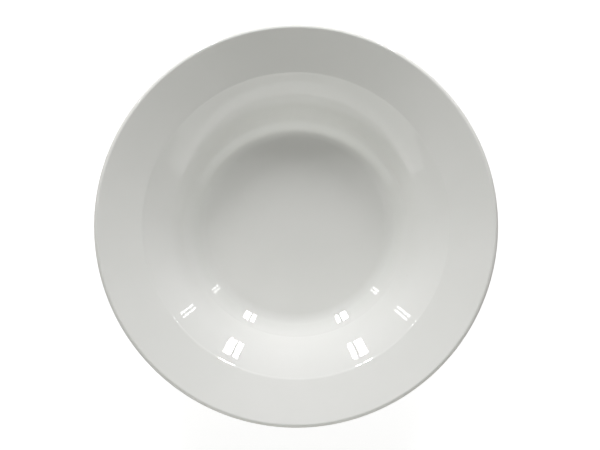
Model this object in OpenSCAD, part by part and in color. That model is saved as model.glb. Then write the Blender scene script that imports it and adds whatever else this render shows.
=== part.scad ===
// Wide-rim pasta bowl in white glazed porcelain.
// One fired clay body carries two coats of glaze. The main coat covers the
// well, the rim, the lip and the outside down to the foot ring. A second,
// separate coat fills the recess inside the foot ring. The land that the bowl
// stands on is bare clay, wiped clean of glaze so that it doesn't fuse to the
// kiln shelf.

/* [Rim] */
// Overall diameter, over the glaze
outer_d = 300; // [260:1:340]
// Rise of the rim from the shoulder line to the lip
rim_rise = 14; // [9:0.1:18]
// Thickness of the rim, over the glaze
rim_t = 4.8; // [4:0.1:6]
// Rounding of the lip as a share of the rim's thickness, 0.5 being a full round
lip_round_share = 0.48; // [0.3:0.01:0.49]

/* [Well] */
// Height of the floor above the table
floor_h = 9.4; // [8.4:0.1:12]
// Diameter at which the floor would meet the cove's flank if nothing were rounded
floor_d = 144.8; // [130:0.2:164]
// Rounding at the foot of the cove
cove_round = 14; // [8:0.1:15]
// Depth from the shoulder line to the floor
well_depth = 36.2; // [30:0.1:44]
// Diameter of the shoulder line, where the wall meets the rim
shoulder_d = 230.4; // [212:0.2:260]
// Rounding of the shoulder line
shoulder_round = 6; // [3:0.5:8]

/* [Wall of the well] */
// Place of the bend in the cove's flank: share of the run from floor to shoulder
bend_run_share = 0.17; // [0.15:0.01:0.19]
// Place of the bend in the cove's flank: share of the well's depth
bend_rise_share = 0.14; // [0.12:0.01:0.16]
// Rounding of the bend in the cove's flank
bend_round = 60; // [20:1:64]
// Place of the fine ring above the cove: share of the run from floor to shoulder
ring_run_share = 0.28; // [0.265:0.005:0.295]
// Place of the fine ring above the cove: share of the well's depth
ring_rise_share = 0.26; // [0.24:0.01:0.28]
// Rounding of the fine ring
ring_round = 3; // [1:0.5:5]
// Width of the eased strip just above the fine ring
ease_w = 0.8; // [0.6:0.1:1.6]
// Rise across the eased strip
ease_rise = 0.7; // [0.5:0.1:1.3]
// Rounding between the eased strip and the wall
ease_round = 10; // [4:1:14]
// Place of the wall's swell: share of the run from floor to shoulder
swell_run_share = 0.62; // [0.59:0.01:0.65]
// Place of the wall's swell: share of the well's depth
swell_rise_share = 0.71; // [0.68:0.01:0.74]
// Rounding of the wall's swell
swell_round = 118; // [60:1:120]
// Width of the low step under the shoulder line
step_w = 1; // [0.8:0.1:1.6]
// Rise of the low step under the shoulder line
step_rise = 0.8; // [0.6:0.1:1.2]
// Rounding at the foot of the low step
step_round = 3; // [1:0.5:4]

/* [Underside] */
// Thickness of the wall, over the glaze
wall_t = 5.2; // [4:0.1:6.4]
// Distance of the neck under the rim, outward from the shoulder line
neck_w = 4.4; // [3:0.1:7]
// Rounding of the neck, where the wall's underside turns into the rim's
neck_round = 20; // [10:1:26]
// Rounding of the belly on the wall's underside
belly_round = 60; // [30:1:70]
// Outer diameter of the foot ring at the table
foot_d = 156; // [130:0.5:180]
// Width of the foot ring at the table
foot_w = 4.6; // [3.6:0.1:7]
// Height of the foot ring on the outside
foot_h = 5.2; // [4:0.1:6.4]
// Lean of the foot ring's sides, outside and inside
foot_lean = 1.6; // [0.8:0.1:2.4]
// Rounding where the wall runs into the foot ring
foot_root_round = 3; // [1.5:0.5:5]
// Rounding of the foot ring's lower edges
land_round = 1.2; // [0.8:0.1:1.6]
// Height of the recess inside the foot ring above the table
recess_h = 4.2; // [3.2:0.1:5.4]
// Rounding where the recess meets the foot ring
recess_round = 2.5; // [1:0.5:4]
// Rise of the recess from its edge to its middle
recess_crown = 0.4; // [0:0.1:1]

/* [Glaze] */
// Thickness of the glaze
glaze_t = 0.3; // [0.2:0.05:0.45]
// Height above the table at which the glaze stops on the foot ring
glaze_line_h = 1.6; // [1.2:0.1:2.4]

/* [Hidden] */

// Largest gap between an arc and its chords
chord_gap = 0.02;
// Largest share of an edge that the roundings at its two ends may take
edge_share = 0.98;
// Steps round the axis
$fn = 144;

outer_r = outer_d / 2;
floor_r = floor_d / 2;
shoulder_r = shoulder_d / 2;
foot_r = foot_d / 2;
shoulder_h = floor_h + well_depth;
lip_h = shoulder_h + rim_rise;
lip_round = rim_t * lip_round_share;
rim_slope = atan2(rim_rise, outer_r - shoulder_r);
rim_drop = rim_t / cos(rim_slope);

function well_point(run_share, rise_share) = [
    floor_r + (shoulder_r - floor_r) * run_share,
    floor_h + well_depth * rise_share
];
bend = well_point(bend_run_share, bend_rise_share);
ring = well_point(ring_run_share, ring_rise_share);
ease = ring + [ease_w, ease_rise];
swell = well_point(swell_run_share, swell_rise_share);
wall_slope = atan2(swell[1] - ease[1], swell[0] - ease[0]);
belly = swell + wall_t * [sin(wall_slope), -cos(wall_slope)];
neck_r = shoulder_r + neck_w;
neck_h = shoulder_h + neck_w * tan(rim_slope) - rim_drop;

// Place where the wall's underside comes down to the height of the foot ring
heel_r = belly[0] - (belly[1] - foot_h) / tan(wall_slope);
underside = [[heel_r, foot_h], belly, [neck_r, neck_h]];

// The foot ring's outside runs up to the wall's underside wherever it meets it.
root_r = foot_r + foot_lean;
root_h = lookup(root_r, underside);
clear_r = root_r + foot_root_round;

// The land carries no glaze, so the glazed outline runs one coat below it.
land_h = -glaze_t;

// Half of the cross-section over the glaze, from the middle of the floor round
// the lip and the foot ring to the middle of the recess. Each corner is
// [distance from the axis, height above the table, rounding].
section = [
    [0, floor_h, 0],
    [floor_r, floor_h, cove_round],
    [bend[0], bend[1], bend_round],
    [ring[0], ring[1], ring_round],
    [ease[0], ease[1], ease_round],
    [swell[0], swell[1], swell_round],
    [shoulder_r - step_w, shoulder_h - step_rise, step_round],
    [shoulder_r, shoulder_h, shoulder_round],
    [outer_r, lip_h, lip_round],
    [outer_r, lip_h - rim_drop, lip_round],
    if (neck_r > clear_r) [neck_r, neck_h, neck_round],
    if (belly[0] > clear_r) [belly[0], belly[1], belly_round],
    if (heel_r > clear_r) [heel_r, foot_h, foot_root_round],
    [root_r, root_h, foot_root_round],
    [foot_r, land_h, land_round],
    [foot_r - foot_w, land_h, land_round],
    [foot_r - foot_w - foot_lean, recess_h, recess_round],
    [0, recess_h + recess_crown, 0]
];

function spot(p) = [p[0], p[1]];
function across_axis(p) = [-p[0], p[1]];
function before(path, i) = i == 0 ? across_axis(path[1]) : spot(path[i - 1]);
function after(path, i) =
    i == len(path) - 1 ? across_axis(path[i - 1]) : spot(path[i + 1]);
function heading(a, b) = atan2(b[1] - a[1], b[0] - a[0]);

// Unit vector square to a heading, on its left
function left_of(way) = [-sin(way), cos(way)];

// Turn of the outline at corner b, from -180 to 180 and positive to the left
function turn(a, b, c) =
    let (t = heading(b, c) - heading(a, b))
    t - 360 * round(t / 360);

// Length of edge that a rounding of corner b takes on either side of it
function reach(a, b, c, r) = r * tan(abs(turn(a, b, c)) / 2);
function reach_at(path, i) =
    reach(before(path, i), spot(path[i]), after(path, i), path[i][2]);

// How full the edge before corner i is with the roundings at its two ends
function fill(path, i) =
    (reach_at(path, i - 1) + reach_at(path, i))
    / norm(spot(path[i]) - spot(path[i - 1])) / edge_share;

// The same outline with every rounding limited by the edges beside it
function fitted(path) = [
    for (i = [0 : len(path) - 1])
        let (
            behind = i == 0 ? 0 : fill(path, i),
            ahead = i == len(path) - 1 ? 0 : fill(path, i + 1)
        )
        [path[i][0], path[i][1], path[i][2] / max(1, behind, ahead)]
];

// One corner moved into the material, which lies to the right of the outline.
// A rounding that bulges outward shrinks by the same depth, a hollow one grows.
function inset_corner(a, b, c, depth, rounding) =
    let (
        t = turn(a, b, c),
        p = b - depth / cos(t / 2) * left_of(heading(a, b) + t / 2)
    )
    [p[0], p[1], rounding == 0 ? 0 : max(0, rounding + sign(t) * depth)];

function inset(path, depth) = [
    for (i = [0 : len(path) - 1])
        inset_corner(before(path, i), spot(path[i]), after(path, i), depth, path[i][2])
];

// Points of the arc that rounds corner b
function corner_arc(a, b, c, r) =
    let (
        t = turn(a, b, c),
        way = heading(a, b),
        swing = sign(t) * r,
        start = b - reach(a, b, c, r) * [cos(way), sin(way)],
        centre = start + swing * left_of(way),
        steps = max(2, ceil(abs(t) / (2 * acos(1 - min(1, chord_gap / r)))))
    )
    [for (k = [0 : steps]) centre - swing * left_of(way + t * k / steps)];

function rounded(path) = [
    for (i = [0 : len(path) - 1])
        each path[i][2] == 0
            ? [spot(path[i])]
            : corner_arc(before(path, i), spot(path[i]), after(path, i), path[i][2])
];

// Half section of the bowl at a given depth under the glaze's surface
module half_section(depth) {
    polygon(rounded(inset(fitted(section), depth)));
}

// Half section of both coats, open at the bare foot ring
module coat_section() {
    difference() {
        half_section(0);
        half_section(glaze_t);
        translate([foot_r - foot_w - foot_lean, land_h])
            square([foot_w + 2 * foot_lean, glaze_line_h - land_h]);
    }
}

// Middle of the foot ring's material, which parts the two coats
module foot_middle() {
    translate([0, land_h])
        square([foot_r - foot_w / 2, recess_h + recess_crown + glaze_t - land_h]);
}

// Fired clay with its foot ring in one piece
module porcelain_body() {
    color([0.93, 0.91, 0.87])
        rotate_extrude()
            half_section(glaze_t);
}

// Glaze over the well, the rim, the lip and the outside
module glaze_main() {
    color([0.96, 0.96, 0.94])
        rotate_extrude()
            difference() {
                coat_section();
                foot_middle();
            }
}

// Glaze in the recess inside the foot ring
module glaze_recess() {
    color([0.94, 0.94, 0.92])
        rotate_extrude()
            intersection() {
                coat_section();
                foot_middle();
            }
}

porcelain_body();
glaze_main();
glaze_recess();
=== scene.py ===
"""Wide-rim pasta bowl in white glazed porcelain: its looks, its stage and its camera.

Three turned pieces stand for the three solids of the CAD model: the fired clay body, the glaze
over the well, the rim and the outside, and the glaze in the recess inside the foot ring. Each
piece is a half section that a Geometry Nodes tree turns round the bowl's axis.
"""

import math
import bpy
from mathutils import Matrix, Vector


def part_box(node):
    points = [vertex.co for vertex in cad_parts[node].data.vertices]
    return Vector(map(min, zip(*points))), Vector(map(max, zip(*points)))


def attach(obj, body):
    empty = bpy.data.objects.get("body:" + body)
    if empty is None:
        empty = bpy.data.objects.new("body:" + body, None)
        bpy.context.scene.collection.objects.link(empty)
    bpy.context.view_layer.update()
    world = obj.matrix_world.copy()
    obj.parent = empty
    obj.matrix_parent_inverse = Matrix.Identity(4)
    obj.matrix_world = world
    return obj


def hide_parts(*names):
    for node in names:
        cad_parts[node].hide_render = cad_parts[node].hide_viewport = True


bl_info = {
    "name": "Porcelain pasta bowl",
    "version": (1, 0, 0),
    "blender": (4, 5, 0),
    "location": "3D View > Sidebar > Bowl",
    "description": "Builds a glazed porcelain pasta bowl and a small studio round it",
    "category": "Object",
}

import bmesh
import bpy
from bpy.props import FloatProperty, FloatVectorProperty, IntProperty, PointerProperty

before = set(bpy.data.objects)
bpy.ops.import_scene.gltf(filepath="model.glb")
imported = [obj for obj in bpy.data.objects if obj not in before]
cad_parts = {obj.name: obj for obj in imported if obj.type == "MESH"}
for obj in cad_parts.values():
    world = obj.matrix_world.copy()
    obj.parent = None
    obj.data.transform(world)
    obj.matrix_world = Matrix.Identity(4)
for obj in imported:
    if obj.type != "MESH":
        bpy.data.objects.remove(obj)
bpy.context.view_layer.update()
GLAZE_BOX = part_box("glaze_main")
MM = 0.001


# Half section of the bowl

ARC_STEP = math.radians(1.6)  # largest turn between two points of a visible arc
HIDDEN_ARC_STEP = math.radians(5)  # the same on the coat's face that lies against the clay
CLAY_ARC_STEP = math.radians(2.5)  # the same on the clay, of which only the foot shows
STRAIGHT_STEP = 2.5 * MM  # largest gap between two points of a straight stretch
JOINT_STEP = 0.25 * MM  # gap beside an arc's end, which keeps its shading off the straight
NO_TURN = 1e-6  # a corner that turns less than this, in radians, isn't rounded
EDGE_SHARE = 0.98  # largest share of an edge that the roundings at its two ends may take


def heading(a, b):
    return math.atan2(b[1] - a[1], b[0] - a[0])


def turn(a, b, c):
    """Turn of the outline at corner b, positive to the left."""
    angle = heading(b, c) - heading(a, b)
    return (angle + math.pi) % (2 * math.pi) - math.pi


def neighbours(path, i):
    """The corners beside corner i. Past the axis the outline goes on as its own mirror image."""
    before = path[i - 1] if i else (-path[1][0], path[1][1])
    after = path[i + 1] if i + 1 < len(path) else (-path[-2][0], path[-2][1])
    return before, after


def inset(path, depth):
    """The outline moved into the material, which lies on its right."""
    moved = []
    for i, corner in enumerate(path):
        before, after = neighbours(path, i)
        bend = turn(before, corner, after)
        way = heading(before, corner) + bend / 2
        out = depth / math.cos(bend / 2)
        rounding = max(0, corner[2] + math.copysign(depth, bend)) if corner[2] else 0
        moved.append((corner[0] + out * math.sin(way), corner[1] - out * math.cos(way), rounding))
    return moved


def fitted(path):
    """The outline with every rounding limited by the edges beside it."""
    reach = []
    for i, corner in enumerate(path):
        before, after = neighbours(path, i)
        reach.append(corner[2] * math.tan(abs(turn(before, corner, after)) / 2))
    full = [0] * (len(path) + 1)
    for i in range(1, len(path)):
        full[i] = (reach[i - 1] + reach[i]) / math.dist(path[i - 1][:2], path[i][:2]) / EDGE_SHARE
    return [(r, z, c / max(1, full[i], full[i + 1])) for i, (r, z, c) in enumerate(path)]


def rounded(path, step):
    """Points of the outline with its corners rounded, in arcs of the given step."""
    points = []
    for i, corner in enumerate(path):
        before, after = neighbours(path, i)
        bend = turn(before, corner, after)
        if not corner[2] or abs(bend) < NO_TURN:
            points.append((corner[0], corner[1]))
            continue
        way = heading(before, corner)
        reach = corner[2] * math.tan(abs(bend) / 2)
        start = (corner[0] - reach * math.cos(way), corner[1] - reach * math.sin(way))
        side = math.copysign(corner[2], bend)
        centre = (start[0] - side * math.sin(way), start[1] + side * math.cos(way))
        count = max(2, math.ceil(abs(bend) / step))
        for k in range(count + 1):
            angle = way + bend * k / count
            points.append((centre[0] + side * math.sin(angle), centre[1] - side * math.cos(angle)))
    return points


def filled_in(points):
    """The same outline with points added along its straight stretches."""
    dense = [points[0]]
    for a, b in zip(points, points[1:]):
        span = math.dist(a, b)
        if span > 2 * STRAIGHT_STEP:
            count = math.ceil(span / STRAIGHT_STEP)
            shares = [JOINT_STEP / span] + [k / count for k in range(1, count)]
            shares.append(1 - JOINT_STEP / span)
            dense += [(a[0] + (b[0] - a[0]) * s, a[1] + (b[1] - a[1]) * s) for s in shares]
        dense.append(b)
    return dense


LIP_ROUND_SHARE = 0.48  # rounding of the lip as a share of the rim's thickness

# Places of the well's corners: share of the run from floor to shoulder, share of the depth
BEND_SHARES = (0.17, 0.14)
RING_SHARES = (0.28, 0.26)
SWELL_SHARES = (0.62, 0.71)

EASE_STRIP = (0.8 * MM, 0.7 * MM)  # width and rise
LOW_STEP = (1 * MM, 0.8 * MM)  # width and rise
NECK_WIDTH = 4.4 * MM
RECESS_CROWN = 0.4 * MM
FOOT_LEAN = 1.6 * MM
COVE_ROUND = 14 * MM
BEND_ROUND = 60 * MM
SHOULDER_ROUND = 6 * MM
RING_ROUND = 3 * MM
EASE_ROUND = 10 * MM
SWELL_ROUND = 118 * MM
STEP_ROUND = 3 * MM
NECK_ROUND = 20 * MM
BELLY_ROUND = 60 * MM
FOOT_ROOT_ROUND = 3 * MM
LAND_ROUND = 1.2 * MM
RECESS_ROUND = 2.5 * MM
FOOT_ROOT = 12  # index of the foot ring's outer root among the section's corners


def bowl_section(size):
    """Corners of the glazed half section as (radius, height, rounding), from the middle of the
    floor round the lip and the foot ring to the middle of the recess."""
    outer_r = size.outer_diameter / 2
    shoulder_r = size.shoulder_diameter / 2
    floor_r = size.floor_diameter / 2
    foot_r = size.foot_diameter / 2
    shoulder_h = size.floor_height + size.well_depth
    lip_h = shoulder_h + size.rim_rise
    rim_slope = math.atan2(size.rim_rise, outer_r - shoulder_r)
    rim_drop = size.rim_thickness / math.cos(rim_slope)
    lip_round = size.rim_thickness * LIP_ROUND_SHARE

    def well_point(shares):
        run = (shoulder_r - floor_r) * shares[0]
        return floor_r + run, size.floor_height + size.well_depth * shares[1]

    bend, ring, swell = map(well_point, (BEND_SHARES, RING_SHARES, SWELL_SHARES))
    ease = (ring[0] + EASE_STRIP[0], ring[1] + EASE_STRIP[1])
    wall_slope = heading(ease, swell)
    belly = (
        swell[0] + size.wall_thickness * math.sin(wall_slope),
        swell[1] - size.wall_thickness * math.cos(wall_slope),
    )
    neck_h = shoulder_h + NECK_WIDTH * math.tan(rim_slope) - rim_drop
    land_h = -size.glaze_thickness
    foot_in = foot_r - size.foot_width
    corners = [
        (0, size.floor_height, 0),
        (floor_r, size.floor_height, COVE_ROUND),
        (*bend, BEND_ROUND),
        (*ring, RING_ROUND),
        (*ease, EASE_ROUND),
        (*swell, SWELL_ROUND),
        (shoulder_r - LOW_STEP[0], shoulder_h - LOW_STEP[1], STEP_ROUND),
        (shoulder_r, shoulder_h, SHOULDER_ROUND),
        (outer_r, lip_h, lip_round),
        (outer_r, lip_h - rim_drop, lip_round),
        (shoulder_r + NECK_WIDTH, neck_h, NECK_ROUND),
        (*belly, BELLY_ROUND),
        (foot_r + FOOT_LEAN, size.foot_height, FOOT_ROOT_ROUND),
        (foot_r, land_h, LAND_ROUND),
        (foot_in, land_h, LAND_ROUND),
        (foot_in - FOOT_LEAN, size.recess_height, RECESS_ROUND),
        (0, size.recess_height + RECESS_CROWN, 0),
    ]
    return fitted(corners)


def at_height(a, b, height):
    """The point at a height on the line from a to b."""
    share = (height - a[1]) / (b[1] - a[1])
    return (a[0] + (b[0] - a[0]) * share, height)


BEAD_SHARE = 0.45  # rounding of the coat's end as a share of its thickness
FOOT_ZONE = (0.8, 1.15)  # what counts as foot, as shares of the foot ring's radius


def coat_outline(outer, inner, line_h, waver_run, glaze_t):
    """Outline of one coat of glaze, from the axis along its face to the glaze line on the foot
    ring and back along the clay. Each point is (radius, height, slide in radius, slide in
    height), where the slide says how far the wavering glaze line carries it along the foot."""
    face_end = at_height(outer[-2], outer[-1], line_h)
    clay_end = at_height(inner[-2], inner[-1], line_h)
    bead = glaze_t * BEAD_SHARE
    face = outer[:-1] + [(*face_end, bead), (*clay_end, bead)]
    face_points = filled_in(rounded(face + [inner[-2]], ARC_STEP))[:-1]
    back = [(*clay_end, 0)] + inner[-2::-1]
    back_points = rounded(back, HIDDEN_ARC_STEP)[1:]
    way = heading(outer[-2], outer[-1])
    foot_in, foot_out = (outer[-1][0] * share for share in FOOT_ZONE)
    points = []
    for r, z in face_points + back_points:
        near = foot_in < r < foot_out and z < line_h + waver_run
        weight = (1 - (z - line_h) / waver_run) ** 2 if near else 0
        points.append((r, z, weight * math.cos(way), weight * math.sin(way)))
    return points


# Node trees

# Sockets of a Mix node that mixes colours
MIX_A, MIX_B, MIX_RESULT = 6, 7, 2


class Wiring:
    """Adds nodes to a tree and links them."""

    def __init__(self, tree):
        self.tree = tree

    def node(self, kind, settings=None, **inputs):
        """A new node with its settings and inputs, where _ stands for a space in a name."""
        node = self.tree.nodes.new(kind)
        for key, value in (settings or {}).items():
            setattr(node, key, value)
        for key, value in inputs.items():
            self.feed(value, node.inputs[key.replace("_", " ")])
        return node

    def feed(self, value, socket):
        """Gives a socket a plain value or another node's output."""
        if isinstance(value, bpy.types.NodeSocket):
            self.tree.links.new(value, socket)
        else:
            socket.default_value = value

    def math(self, operation, a, b=0.0, c=0.0):
        node = self.node("ShaderNodeMath", {"operation": operation})
        for socket, value in zip(node.inputs, (a, b, c)):
            self.feed(value, socket)
        return node.outputs[0]

    def ramp(self, value, low, high):
        """0 below low, 1 above high, smooth between. Low may be the larger of the two."""
        start, end = (0.0, 1.0) if low <= high else (1.0, 0.0)
        node = self.node(
            "ShaderNodeMapRange",
            {"interpolation_type": "SMOOTHSTEP"},
            Value=value,
            From_Min=min(low, high),
            From_Max=max(low, high),
            To_Min=start,
            To_Max=end,
        )
        return node.outputs[0]

    def mix(self, factor, a, b):
        node = self.node("ShaderNodeMix", {"data_type": "RGBA"}, Factor=factor)
        self.feed(a, node.inputs[MIX_A])
        self.feed(b, node.inputs[MIX_B])
        return node.outputs[MIX_RESULT]

    def stain(self, base, mask, share, rgb):
        """The base colour turned towards rgb by a share where the mask is 1."""
        return self.mix(self.math("MULTIPLY", mask, share), base, colour(rgb))


def colour(rgb):
    return (*rgb, 1.0)


def shared(name, maker):
    """The node group of that name, which is made on its first use."""
    return bpy.data.node_groups.get(name) or maker()


# Turning the half sections

MERGE_GAP = 2e-6  # points of a turned piece that lie closer than this become one
WAVER_SCALE = 6
SIDES = 192


def turning_tree():
    """Geometry Nodes that turn a half section, drawn in the XZ plane, round the Z axis."""
    tree = bpy.data.node_groups.new("turned_piece", "GeometryNodeTree")
    face = tree.interface
    face.new_socket("Geometry", in_out="INPUT", socket_type="NodeSocketGeometry")
    sides = face.new_socket("Sides", in_out="INPUT", socket_type="NodeSocketInt")
    oval = face.new_socket("Oval", in_out="INPUT", socket_type="NodeSocketFloat")
    waver = face.new_socket("Waver", in_out="INPUT", socket_type="NodeSocketFloat")
    seed = face.new_socket("Seed", in_out="INPUT", socket_type="NodeSocketFloat")
    finish = face.new_socket("Finish", in_out="INPUT", socket_type="NodeSocketMaterial")
    face.new_socket("Geometry", in_out="OUTPUT", socket_type="NodeSocketGeometry")
    sides.default_value, sides.min_value = SIDES, 12
    sides.description = "Faces round the axis"
    oval.description = "Share by which the bowl is narrower from front to back"
    waver.description = "Largest rise or fall of the glaze line"
    seed.description = "Picks another run of the glaze line"
    finish.description = "Material of the piece"

    # A flat grid has the section's points along X and the faces round the axis along Y.
    wiring = Wiring(tree)
    given, result = wiring.node("NodeGroupInput"), wiring.node("NodeGroupOutput")
    section = given.outputs["Geometry"]
    size = wiring.node("GeometryNodeAttributeDomainSize", Geometry=section)
    count = size.outputs["Point Count"]
    grid = wiring.node(
        "GeometryNodeMeshGrid",
        Size_X=1.0,
        Size_Y=1.0,
        Vertices_X=count,
        Vertices_Y=wiring.math("ADD", given.outputs["Sides"], 1.0),
    )
    place = wiring.node("GeometryNodeInputPosition").outputs[0]
    split = wiring.node("ShaderNodeSeparateXYZ", Vector=place)
    along = wiring.math("ADD", split.outputs["X"], 0.5)
    last = wiring.math("SUBTRACT", count, 1.0)
    index = wiring.math("ROUND", wiring.math("MULTIPLY", along, last))
    around = wiring.math("ADD", split.outputs["Y"], 0.5)
    angle = wiring.math("MULTIPLY", around, 2 * math.pi)
    cosine, sine = wiring.math("COSINE", angle), wiring.math("SINE", angle)

    def sampled(value):
        """A vector of the section's point that belongs to the grid's, as radius and height."""
        node = wiring.node(
            "GeometryNodeSampleIndex",
            {"data_type": "FLOAT_VECTOR", "domain": "POINT"},
            Geometry=section,
            Value=value,
            Index=index,
        )
        parts = wiring.node("ShaderNodeSeparateXYZ", Vector=node.outputs[0])
        return parts.outputs["X"], parts.outputs["Z"]

    radius, height = sampled(wiring.node("GeometryNodeInputPosition").outputs[0])
    slide = wiring.node(
        "GeometryNodeInputNamedAttribute", {"data_type": "FLOAT_VECTOR"}, Name="slide"
    )
    slide_r, slide_h = sampled(slide.outputs["Attribute"])

    # The glaze line rises and falls with a noise that is read on a circle, so that it closes.
    circle = wiring.node("ShaderNodeCombineXYZ", X=cosine, Y=sine, Z=given.outputs["Seed"])
    noise = wiring.node(
        "ShaderNodeTexNoise", Vector=circle.outputs[0], Scale=WAVER_SCALE, Detail=3.0
    )
    swing = wiring.math("MULTIPLY", wiring.math("SUBTRACT", noise.outputs[0], 0.5), 2.0)
    shift = wiring.math("MULTIPLY", swing, given.outputs["Waver"])
    radius = wiring.math("ADD", radius, wiring.math("MULTIPLY", slide_r, shift))
    height = wiring.math("ADD", height, wiring.math("MULTIPLY", slide_h, shift))

    narrow = wiring.math("MULTIPLY", sine, wiring.math("SUBTRACT", 1.0, given.outputs["Oval"]))
    spot = wiring.node(
        "ShaderNodeCombineXYZ",
        X=wiring.math("MULTIPLY", radius, cosine),
        Y=wiring.math("MULTIPLY", radius, narrow),
        Z=height,
    )
    chain = [
        wiring.node("GeometryNodeSetPosition", Position=spot.outputs[0]),
        wiring.node("GeometryNodeMergeByDistance", Distance=MERGE_GAP),
        wiring.node("GeometryNodeSetShadeSmooth"),
        wiring.node("GeometryNodeRealizeInstances"),
        wiring.node("GeometryNodeSetMaterial", Material=given.outputs["Finish"]),
    ]
    carried = grid.outputs["Mesh"]
    for node in chain:
        wiring.feed(carried, node.inputs[0])
        carried = node.outputs[0]
    wiring.feed(carried, result.inputs["Geometry"])
    return tree


def turned(name, points, finish, size, seed):
    """A closed piece turned from points of (radius, height, slide in radius, slide in height),
    ready to ride."""
    mesh = bpy.data.meshes.new(name + "_section")
    edges = [(i, i + 1) for i in range(len(points) - 1)]
    mesh.from_pydata([(max(0, r), 0, z) for r, z, _, _ in points], edges, [])
    slide = mesh.attributes.new("slide", "FLOAT_VECTOR", "POINT")
    slide.data.foreach_set("vector", [v for p in points for v in (p[2], 0, p[3])])
    section = bpy.data.objects.new(name + "_section", mesh)
    bpy.context.scene.collection.objects.link(section)

    tree = shared("turned_piece", turning_tree)
    modifier = section.modifiers.new("turned", "NODES")
    modifier.node_group = tree
    values = {
        "Sides": size.sides,
        "Oval": size.oval,
        "Waver": size.glaze_line_waver,
        "Seed": float(seed),
        "Finish": finish,
    }
    for item in tree.interface.items_tree:
        if item.in_out == "INPUT" and item.name in values:
            modifier[item.identifier] = values[item.name]
    graph = bpy.context.evaluated_depsgraph_get()
    graph.update()
    solid = bpy.data.meshes.new_from_object(section.evaluated_get(graph), depsgraph=graph)
    bpy.data.objects.remove(section)
    bpy.data.meshes.remove(mesh)

    solid.name = name
    shell = bmesh.new()
    shell.from_mesh(solid)
    bmesh.ops.remove_doubles(shell, verts=shell.verts, dist=MERGE_GAP)
    bmesh.ops.dissolve_degenerate(shell, edges=shell.edges, dist=MERGE_GAP / 2)
    bmesh.ops.recalc_face_normals(shell, faces=shell.faces)
    if not shell.faces or any(not e.is_manifold for e in shell.edges):
        raise RuntimeError(f"{name} isn't a closed solid")
    if shell.calc_volume(signed=True) < 0:
        bmesh.ops.reverse_faces(shell, faces=shell.faces)
    shell.to_mesh(solid)
    shell.free()
    piece = bpy.data.objects.new(name, solid)
    bpy.context.scene.collection.objects.link(piece)
    return piece


# Materials


def value_group(name, inputs, outputs):
    """A shader node group with float inputs and outputs, and the wiring inside it."""
    tree = bpy.data.node_groups.new(name, "ShaderNodeTree")
    for label, default in inputs:
        socket = tree.interface.new_socket(label, in_out="INPUT", socket_type="NodeSocketFloat")
        socket.default_value = default
    for label in outputs:
        tree.interface.new_socket(label, in_out="OUTPUT", socket_type="NodeSocketFloat")
    return Wiring(tree), tree.nodes.new("NodeGroupInput"), tree.nodes.new("NodeGroupOutput")


def polar_parts(wiring):
    """The object coordinates, and the distance from the axis and the height in millimetres."""
    place = wiring.node("ShaderNodeTexCoord").outputs["Object"]
    split = wiring.node("ShaderNodeSeparateXYZ", Vector=place)
    x, y, z = split.outputs
    across = wiring.math("ADD", wiring.math("MULTIPLY", x, x), wiring.math("MULTIPLY", y, y))
    radius = wiring.math("MULTIPLY", wiring.math("SQRT", across), 1 / MM)
    return place, radius, wiring.math("MULTIPLY", z, 1 / MM)


def relief_group():
    """Height of the glaze's surface in millimetres: orange peel and faint rings from shaping."""
    wiring, given, result = value_group(
        "glaze_relief", [("Peel", 0.0025), ("Rings", 0.003), ("Drift", 0.01)], ["Height"]
    )
    place, radius, _ = polar_parts(wiring)
    peel = wiring.node("ShaderNodeTexNoise", Vector=place, Scale=260.0, Detail=2.0)
    drift = wiring.node("ShaderNodeTexNoise", Vector=place, Scale=38.0, Detail=1.0)
    line = wiring.node("ShaderNodeCombineXYZ", X=wiring.math("MULTIPLY", radius, MM))
    rings = wiring.node("ShaderNodeTexNoise", Vector=line.outputs[0], Scale=420.0, Detail=2.0)
    total = wiring.math("MULTIPLY", peel.outputs[0], given.outputs["Peel"])
    total = wiring.math("MULTIPLY_ADD", rings.outputs[0], given.outputs["Rings"], total)
    total = wiring.math("MULTIPLY_ADD", drift.outputs[0], given.outputs["Drift"], total)
    wiring.feed(total, result.inputs["Height"])
    return wiring.tree


DOT_EDGE = (1.0, 0.6)  # a speck fades out between these shares of its size


def speck_group():
    """Mask of sparse small specks, such as iron spots and pinholes."""
    wiring, given, result = value_group(
        "specks", [("Scale", 90.0), ("Size", 0.06), ("Share", 0.1)], ["Mask"]
    )
    place, _, _ = polar_parts(wiring)
    cells = wiring.node("ShaderNodeTexVoronoi", Vector=place, Scale=given.outputs["Scale"])
    chance = wiring.node("ShaderNodeSeparateColor", Color=cells.outputs["Color"])
    few = wiring.math("LESS_THAN", chance.outputs[0], given.outputs["Share"])
    reach = wiring.math("DIVIDE", cells.outputs["Distance"], given.outputs["Size"])
    dot = wiring.ramp(reach, *DOT_EDGE)
    wiring.feed(wiring.math("MULTIPLY", dot, few), result.inputs["Mask"])
    return wiring.tree


def group_node(wiring, name, maker, **inputs):
    """The output of a shared group that is placed in a material with its own values."""
    node = wiring.node("ShaderNodeGroup", {"node_tree": shared(name, maker)}, **inputs)
    return node.outputs[0]


def new_finish(name):
    """A material, the wiring in it and its shader."""
    finish = bpy.data.materials.new(name)
    finish.use_nodes = True
    return finish, Wiring(finish.node_tree), finish.node_tree.nodes["Principled BSDF"]


# Values of a noise between which a patch of its colour runs from none to full
GLAZE_CLOUD = (0.35, 0.65)
CLAY_CLOUD = (0.3, 0.7)
WORN_PATCH = (0.4, 0.6)

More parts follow.
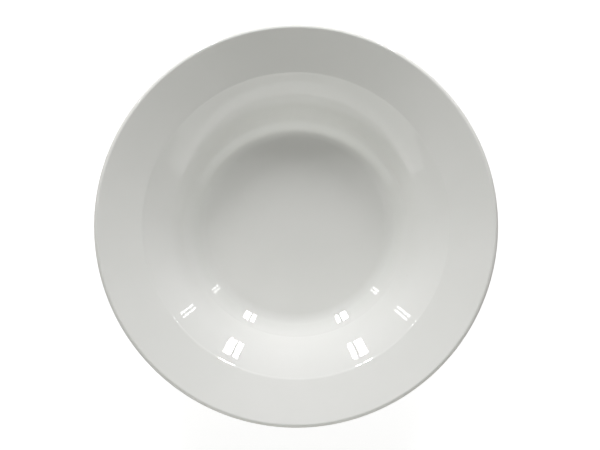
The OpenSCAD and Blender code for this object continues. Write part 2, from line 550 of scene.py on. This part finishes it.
# Where the glaze gathers or is drawn thin and where the foot is worn, in millimetres from the
# axis or above the table. Each pair runs from none to full.
RECESS_POOL = (66.0, 71.0)
COVE_POOL_INSIDE = (70.0, 78.0)
COVE_POOL_OUTSIDE = (92.0, 84.0)
COVE_POOL_HEIGHT = (20.0, 12.0)
THIN_LIP = (147.2, 149.6)
WORN_HEIGHT = (0.5, 0.1)

# How far the colour turns towards each of these where it is full
POOL_SHARE = 0.6
THIN_SHARE = 0.7
GLAZE_SPECK_SHARE = 0.35
CLAY_SPECK_SHARE = 0.4
WORN_SHARE = 0.35

# Share of the cells that hold a speck
MAIN_SPECKS = 0.05
RECESS_SPECKS = 0.16
CLAY_SPECKS = 0.12

# Lowest roughness and how much a noise adds to it, for the glaze as shares of its setting
GLAZE_UNEVEN = (0.65, 0.7)
CLAY_UNEVEN = (0.62, 0.2)
RECESS_ROUGHER = 1.6
CLAY_GRAIN_DEPTH = 0.03 * MM


def glaze_finish(name, looks, recess):
    """Clear gloss glaze over white clay: faintly green where it pools, warm where it is thin."""
    finish, wiring, shader = new_finish(name)
    place, radius, height = polar_parts(wiring)
    cloud = wiring.node("ShaderNodeTexNoise", Vector=place, Scale=14.0, Detail=3.0)
    cloudy = wiring.ramp(cloud.outputs[0], *GLAZE_CLOUD)
    base = wiring.mix(cloudy, colour(looks.glaze_colour), colour(looks.cloud_colour))
    if recess:
        pool = wiring.ramp(radius, *RECESS_POOL)
    else:
        inside = wiring.ramp(radius, *COVE_POOL_INSIDE)
        outside = wiring.ramp(radius, *COVE_POOL_OUTSIDE)
        low = wiring.ramp(height, *COVE_POOL_HEIGHT)
        pool = wiring.math("MULTIPLY", wiring.math("MULTIPLY", inside, outside), low)
        base = wiring.stain(base, wiring.ramp(radius, *THIN_LIP), THIN_SHARE, looks.thin_colour)
    base = wiring.stain(base, pool, POOL_SHARE, looks.pool_colour)
    share = RECESS_SPECKS if recess else MAIN_SPECKS
    specks = group_node(wiring, "specks", speck_group, Scale=95.0, Size=0.035, Share=share)
    base = wiring.stain(base, specks, GLAZE_SPECK_SHARE, looks.speck_colour)
    wiring.feed(base, shader.inputs["Base Color"])

    smear = wiring.node("ShaderNodeTexNoise", Vector=place, Scale=30.0, Detail=4.0)
    level = looks.glaze_roughness * (RECESS_ROUGHER if recess else 1.0)
    lowest, added = (level * share for share in GLAZE_UNEVEN)
    uneven = wiring.math("MULTIPLY_ADD", smear.outputs[0], added, lowest)
    wiring.feed(uneven, shader.inputs["Roughness"])
    shader.inputs["IOR"].default_value = looks.glaze_ior
    relief = group_node(wiring, "glaze_relief", relief_group)
    bump = wiring.node("ShaderNodeBump", Height=relief, Distance=MM, Strength=1.0)
    wiring.feed(bump.outputs[0], shader.inputs["Normal"])
    return finish


def clay_finish(looks):
    """Bare fired clay with a fine grain, a little grey where it has stood on tables."""
    finish, wiring, shader = new_finish("bare_fired_clay")
    place, _, height = polar_parts(wiring)
    grain = wiring.node("ShaderNodeTexNoise", Vector=place, Scale=2400.0, Detail=3.0)
    cloud = wiring.node("ShaderNodeTexNoise", Vector=place, Scale=70.0, Detail=4.0)
    cloudy = wiring.ramp(cloud.outputs[0], *CLAY_CLOUD)
    base = wiring.mix(cloudy, colour(looks.clay_colour), colour(looks.clay_shade))
    specks = group_node(wiring, "specks", speck_group, Scale=420.0, Size=0.22, Share=CLAY_SPECKS)
    base = wiring.stain(base, specks, CLAY_SPECK_SHARE, looks.speck_colour)
    low = wiring.ramp(height, *WORN_HEIGHT)
    worn = wiring.math("MULTIPLY", low, wiring.ramp(cloud.outputs[0], *WORN_PATCH))
    base = wiring.stain(base, worn, WORN_SHARE, looks.worn_colour)
    wiring.feed(base, shader.inputs["Base Color"])
    lowest, added = CLAY_UNEVEN
    uneven = wiring.math("MULTIPLY_ADD", grain.outputs[0], added, lowest)
    wiring.feed(uneven, shader.inputs["Roughness"])
    bump = wiring.node(
        "ShaderNodeBump", Height=grain.outputs[0], Distance=CLAY_GRAIN_DEPTH, Strength=1.0
    )
    wiring.feed(bump.outputs[0], shader.inputs["Normal"])
    return finish


# Stage

# Each lamp stands upright and faces the bowl's axis: name, azimuth in degrees from 12 o'clock
# towards 3 o'clock, distance, width, heights of its lower and upper edges in metres, radiance.
STRIPS = [
    ("strip_1", -28.25, 1.5, 0.085, 0.366, 0.835, 81.0),
    ("strip_2", -24.25, 1.5, 0.048, 0.366, 0.835, 81.0),
    ("strip_3", 24.75, 1.5, 0.059, 0.366, 0.835, 59.5),
    ("strip_4", 28.55, 1.5, 0.085, 0.366, 0.835, 59.5),
    ("twin_strip_1", -51.5, 1.5, 0.024, 0.366, 0.835, 11.5),
    ("twin_strip_2", -49.7, 1.5, 0.024, 0.366, 0.835, 11.5),
    ("twin_strip_3", 50.75, 1.5, 0.024, 0.366, 0.835, 11.5),
    ("twin_strip_4", 52.55, 1.5, 0.024, 0.366, 0.835, 11.5),
]
STRIP_COLOUR = (1.0, 0.993, 1.0)
NEUTRAL = (1.0, 1.0, 1.0)
WARM = (1.0, 1.0, 0.955)

# The panels also have a colour, the place of their brightest line as a share of the width, from
# the lamp's own left, the spread of the fall to both sides as a share of the width, how bright the
# foot is beside the head, and whether the glaze mirrors them and whether they light it. Those in
# front stand one behind another, because of lamps in one plane only one would be mirrored.
PANELS = [
    ("front_panel", 180.0, 1.5, 4.0, 0.86, 1.815, 1.7, WARM, 0.4275, 0.225, 0.6, True, True),
    ("front_window", 180.0, 1.52, 6.75, 0.45, 1.53, 0.85, NEUTRAL, 0.5, 9.0, 1.0, True, False),
    ("front_low", 180.0, 1.54, 6.75, 0.03, 0.86, 1.45, NEUTRAL, 0.5, 0.222, 0.4, True, False),
    ("front_fill", 180.0, 1.56, 2.4, 1.23, 1.655, 15.6, WARM, 0.415, 0.2, 0.73, False, True),
    ("rear_fill", 0.0, 1.5, 2.0, 0.067, 0.998, 1.5, NEUTRAL, 0.554, 0.225, 1.86, False, True),
]


def upright_lamp(name, azimuth, distance, width, low, high, radiance, hue):
    """A rectangular lamp that faces the bowl's axis and that the camera doesn't see. Its
    strength is its face's radiance."""
    height = high - low
    light = bpy.data.lights.new(name, "AREA")
    light.shape = "RECTANGLE"
    light.size, light.size_y = width, height
    light.energy = radiance * width * height * math.pi
    light.color = hue
    holder = bpy.data.objects.new(name, light)
    way = math.radians(azimuth)
    holder.location = (distance * math.sin(way), distance * math.cos(way), (low + high) / 2)
    holder.rotation_euler = (math.pi / 2, 0, math.pi - way)
    holder.visible_camera = False
    bpy.context.scene.collection.objects.link(holder)
    return holder


def soften(holder, centre, spread, foot_share):
    """Fades a panel to both sides, as a bell round its brightest line, and changes it evenly
    from its head down to its foot, which has the given share of the head's strength."""
    light = holder.data
    light.use_nodes = True
    wiring = Wiring(light.node_tree)
    place = wiring.node("ShaderNodeNewGeometry").outputs["Parametric"]
    across, up, _ = wiring.node("ShaderNodeSeparateXYZ", Vector=place).outputs
    off = wiring.math("DIVIDE", wiring.math("SUBTRACT", across, centre), spread)
    bell = wiring.math("EXPONENT", wiring.math("MULTIPLY", wiring.math("POWER", off, 2.0), -0.5))
    rise = wiring.math("MULTIPLY_ADD", up, 1.0 - foot_share, foot_share)
    emission = light.node_tree.nodes["Emission"]
    wiring.feed(wiring.math("MULTIPLY", bell, rise), emission.inputs["Strength"])


def seen_directly(wiring):
    """1 for a ray from the camera or one that was mirrored or let through, else 0."""
    path = wiring.node("ShaderNodeLightPath")
    seen = wiring.math("MAXIMUM", path.outputs["Is Camera Ray"], path.outputs["Is Glossy Ray"])
    return wiring.math("MAXIMUM", seen, path.outputs["Is Transmission Ray"])


FLOOR_SIZE = 6.0
FLOOR_GRAIN = (0.4, 0.4, 0.4)
FLOOR_GRAIN_SHARE = 0.04
FLOOR_ALL_WHITE = (300.0, 1200.0)  # millimetres from the axis between which the glow becomes full


def floor_finish(stage):
    """Nearly white to the camera and in reflections, and grey under the lamps, so that it shows
    the bowl's shadow. Far from the bowl it is all white."""
    finish, wiring, shader = new_finish("studio_floor")
    seen = seen_directly(wiring)
    place, radius, _ = polar_parts(wiring)
    grain = wiring.node("ShaderNodeTexNoise", Vector=place, Scale=180.0, Detail=3.0)
    base = wiring.stain(
        colour(stage.floor_colour), grain.outputs[0], FLOOR_GRAIN_SHARE, FLOOR_GRAIN
    )
    wiring.feed(base, shader.inputs["Base Color"])
    shader.inputs["Roughness"].default_value = 0.9
    shader.inputs["Specular IOR Level"].default_value = 0.0
    shader.inputs["Emission Color"].default_value = colour(NEUTRAL)
    far = wiring.ramp(radius, *FLOOR_ALL_WHITE)
    glow = wiring.math("MULTIPLY_ADD", far, 1.0 - stage.floor_glow, stage.floor_glow)
    wiring.feed(wiring.math("MULTIPLY", seen, glow), shader.inputs["Emission Strength"])
    return finish


def world_light(stage):
    """White to the camera and in reflections. It lights the bowl only by the stage's Air value."""
    world = bpy.data.worlds.new("studio_air")
    world.use_nodes = True
    wiring = Wiring(world.node_tree)
    background = world.node_tree.nodes["Background"]
    seen = seen_directly(wiring)
    level = wiring.math("MULTIPLY_ADD", seen, 1.0 - stage.air_strength, stage.air_strength)
    wiring.feed(level, background.inputs["Strength"])
    background.inputs["Color"].default_value = colour(NEUTRAL)
    bpy.context.scene.world = world


# Settings


def length(name, value, description):
    return FloatProperty(
        name=name,
        description=description,
        default=value,
        min=0.0,
        unit="LENGTH",
        subtype="DISTANCE",
    )


def tint(name, value, description):
    return FloatVectorProperty(
        name=name,
        description=description,
        default=value,
        size=3,
        min=0.0,
        max=1.0,
        subtype="COLOR",
    )


def number(name, value, description, **limits):
    return FloatProperty(name=name, description=description, default=value, **limits)


def cad_diameter():
    """Diameter of the glaze in the CAD model."""
    lo, hi = GLAZE_BOX
    return min(hi.x - lo.x, hi.y - lo.y)


class BowlSizes(bpy.types.PropertyGroup):
    """Sizes of the bowl"""

    outer_diameter: length("Outer diameter", cad_diameter(), "Across the lip, over the glaze")
    rim_rise: length("Rim rise", 14 * MM, "Rise of the rim from the shoulder line to the lip")
    rim_thickness: length("Rim thickness", 4.8 * MM, "Thickness of the rim, over the glaze")
    shoulder_diameter: length("Shoulder diameter", 230.4 * MM, "Where the wall meets the rim")
    well_depth: length("Well depth", 36.2 * MM, "From the shoulder line to the floor")
    floor_diameter: length("Floor diameter", 144.8 * MM, "Where floor and flank lines would meet")
    floor_height: length("Floor height", 9.4 * MM, "Height of the floor above the table")
    wall_thickness: length("Wall thickness", 5.2 * MM, "Thickness of the wall, over the glaze")
    foot_diameter: length("Foot diameter", 156 * MM, "Across the foot ring at the table")
    foot_width: length("Foot width", 4.6 * MM, "Width of the foot ring at the table")
    foot_height: length("Foot height", 5.2 * MM, "Height of the foot ring on the outside")
    recess_height: length("Recess height", 4.2 * MM, "Recess inside the foot ring over the table")
    glaze_thickness: length("Glaze thickness", 0.3 * MM, "Thickness of the coats of glaze")
    glaze_line: length("Glaze line", 1.6 * MM, "Height above the table where the glaze stops")
    glaze_line_waver: length("Glaze line waver", 0.35 * MM, "Rise and fall of the glaze line")
    waver_run: length("Waver run", 1.8 * MM, "Distance over which the waver dies out")
    oval: number(
        "Oval",
        0.002,
        "Share by which firing has left the bowl narrower from front to back",
        min=0.0,
        max=0.01,
    )
    sides: IntProperty(
        name="Sides", description="Faces round the axis", default=SIDES, min=48, max=256
    )


class BowlLooks(bpy.types.PropertyGroup):
    """Colours and gloss of the glaze and the clay"""

    glaze_colour: tint("Glaze", (0.790, 0.794, 0.772), "White clay seen through the glaze")
    cloud_colour: tint("Glaze cloud", (0.770, 0.776, 0.752), "Slightly thicker glaze")
    pool_colour: tint("Pooled glaze", (0.735, 0.748, 0.715), "Glaze gathered in the cove")
    thin_colour: tint("Thin glaze", (0.815, 0.805, 0.775), "Glaze drawn thin over the lip")
    speck_colour: tint("Specks", (0.42, 0.39, 0.33), "Iron spots and pinholes")
    clay_colour: tint("Clay", (0.74, 0.70, 0.63), "Bare fired clay")
    clay_shade: tint("Clay shade", (0.68, 0.635, 0.565), "Slightly darker patches of the clay")
    worn_colour: tint("Worn foot", (0.48, 0.46, 0.43), "Where the foot has rubbed on tables")
    glaze_roughness: number("Glaze roughness", 0.007, "Roughness of the glaze", min=0.0, max=1.0)
    glaze_ior: number("Glaze index", 1.5, "Refractive index of the glaze", min=1.0, max=2.0)


class BowlStage(bpy.types.PropertyGroup):
    """Floor, light and camera"""

    floor_colour: tint("Floor", (0.5, 0.5, 0.5), "Colour of the floor under the lamps")
    floor_glow: number("Floor glow", 0.78, "Glow of the floor near the bowl", min=0.0)
    air_strength: number("Air", 0.0, "Strength of the light from all round", min=0.0)
    lamp_level: number("Lamp level", 1.0, "Strength of all lamps together", min=0.0)
    camera_height: length("Camera height", 1.1693, "Height of the camera above the table")
    camera_lens: number("Lens", 90.0, "Focal length of the camera", unit="CAMERA", min=1.0)


# Operators

CAMERA_SHIFT = (0.0029, 0.0008)  # the camera's place beside the bowl's axis, along X and Y


def put_in_place(piece, node):
    """Lets the piece stand for a CAD node: hides the node and hangs the piece under the root."""
    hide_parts(node)
    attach(piece, "root")


class BOWL_OT_clay_body(bpy.types.Operator):
    """Turns the fired clay body, which shows only on the foot ring's land"""

    bl_idname = "bowl.clay_body"
    bl_label = "Clay body"

    def execute(self, context):
        size = context.scene.bowl_sizes
        clay = inset(bowl_section(size), size.glaze_thickness)
        points = [(r, z, 0, 0) for r, z in rounded(clay, CLAY_ARC_STEP)]
        finish = clay_finish(context.scene.bowl_looks)
        piece = turned("bowl_clay_body", points, finish, size, seed=0)
        put_in_place(piece, "porcelain_body")
        return {"FINISHED"}


class BOWL_OT_main_glaze(bpy.types.Operator):
    """Turns the glaze over the well, the rim, the lip and the outside"""

    bl_idname = "bowl.main_glaze"
    bl_label = "Main glaze"

    def execute(self, context):
        size = context.scene.bowl_sizes
        section = bowl_section(size)
        clay = inset(section, size.glaze_thickness)
        outer, inner = section[: FOOT_ROOT + 2], clay[: FOOT_ROOT + 2]
        points = coat_outline(outer, inner, size.glaze_line, size.waver_run, size.glaze_thickness)
        finish = glaze_finish("white_gloss_glaze", context.scene.bowl_looks, recess=False)
        piece = turned("bowl_main_glaze", points, finish, size, seed=3)
        put_in_place(piece, "glaze_main")
        return {"FINISHED"}


class BOWL_OT_recess_glaze(bpy.types.Operator):
    """Turns the glaze in the recess inside the foot ring"""

    bl_idname = "bowl.recess_glaze"
    bl_label = "Recess glaze"

    def execute(self, context):
        size = context.scene.bowl_sizes
        section = bowl_section(size)
        clay = inset(section, size.glaze_thickness)
        outer, inner = section[: FOOT_ROOT + 1 : -1], clay[: FOOT_ROOT + 1 : -1]
        points = coat_outline(outer, inner, size.glaze_line, size.waver_run, size.glaze_thickness)
        finish = glaze_finish("white_recess_glaze", context.scene.bowl_looks, recess=True)
        piece = turned("bowl_recess_glaze", points, finish, size, seed=8)
        put_in_place(piece, "glaze_recess")
        return {"FINISHED"}


class BOWL_OT_stage(bpy.types.Operator):
    """Builds the floor, the lamps, the light from all round and the camera"""

    bl_idname = "bowl.stage"
    bl_label = "Stage"

    def execute(self, context):
        scene, stage = context.scene, context.scene.bowl_stage
        half = FLOOR_SIZE / 2
        mesh = bpy.data.meshes.new("studio_floor")
        corners = [(-half, -half, 0), (half, -half, 0), (half, half, 0), (-half, half, 0)]
        mesh.from_pydata(corners, [], [(0, 1, 2, 3)])
        mesh.materials.append(floor_finish(stage))
        floor = bpy.data.objects.new("studio_floor", mesh)
        scene.collection.objects.link(floor)
        for *where, radiance in STRIPS:
            upright_lamp(*where, radiance * stage.lamp_level, STRIP_COLOUR)
        for *where, radiance, hue, centre, spread, foot_share, mirrored, lighting in PANELS:
            holder = upright_lamp(*where, radiance * stage.lamp_level, hue)
            soften(holder, centre, spread, foot_share)
            holder.visible_glossy, holder.visible_diffuse = mirrored, lighting
        world_light(stage)

        lens = bpy.data.cameras.new("overhead_camera")
        lens.lens = stage.camera_lens
        camera = bpy.data.objects.new("overhead_camera", lens)
        camera.location = (*CAMERA_SHIFT, stage.camera_height)
        scene.collection.objects.link(camera)
        scene.camera = camera
        scene.view_settings.view_transform = "Standard"
        return {"FINISHED"}


STEPS = (BOWL_OT_clay_body, BOWL_OT_main_glaze, BOWL_OT_recess_glaze, BOWL_OT_stage)
GROUPS = (("bowl_sizes", BowlSizes), ("bowl_looks", BowlLooks), ("bowl_stage", BowlStage))


class BOWL_PT_panel(bpy.types.Panel):
    """Lists the bowl's settings and the steps that build it"""

    bl_idname = "BOWL_PT_panel"
    bl_label = "Pasta bowl"
    bl_space_type = "VIEW_3D"
    bl_region_type = "UI"
    bl_category = "Bowl"

    def draw(self, context):
        for attribute, group in GROUPS:
            box = self.layout.box()
            for name in group.__annotations__:
                box.prop(getattr(context.scene, attribute), name)
        for step in STEPS:
            self.layout.operator(step.bl_idname)


def register():
    for attribute, group in GROUPS:
        bpy.utils.register_class(group)
        setattr(bpy.types.Scene, attribute, PointerProperty(type=group))
    for kind in (*STEPS, BOWL_PT_panel):
        bpy.utils.register_class(kind)


def unregister():
    for kind in (BOWL_PT_panel, *reversed(STEPS)):
        bpy.utils.unregister_class(kind)
    for attribute, group in reversed(GROUPS):
        delattr(bpy.types.Scene, attribute)
        bpy.utils.unregister_class(group)


def main():
    register()
    bpy.ops.bowl.clay_body()
    bpy.ops.bowl.main_glaze()
    bpy.ops.bowl.recess_glaze()
    bpy.ops.bowl.stage()


if __name__ == "__main__":
    main()
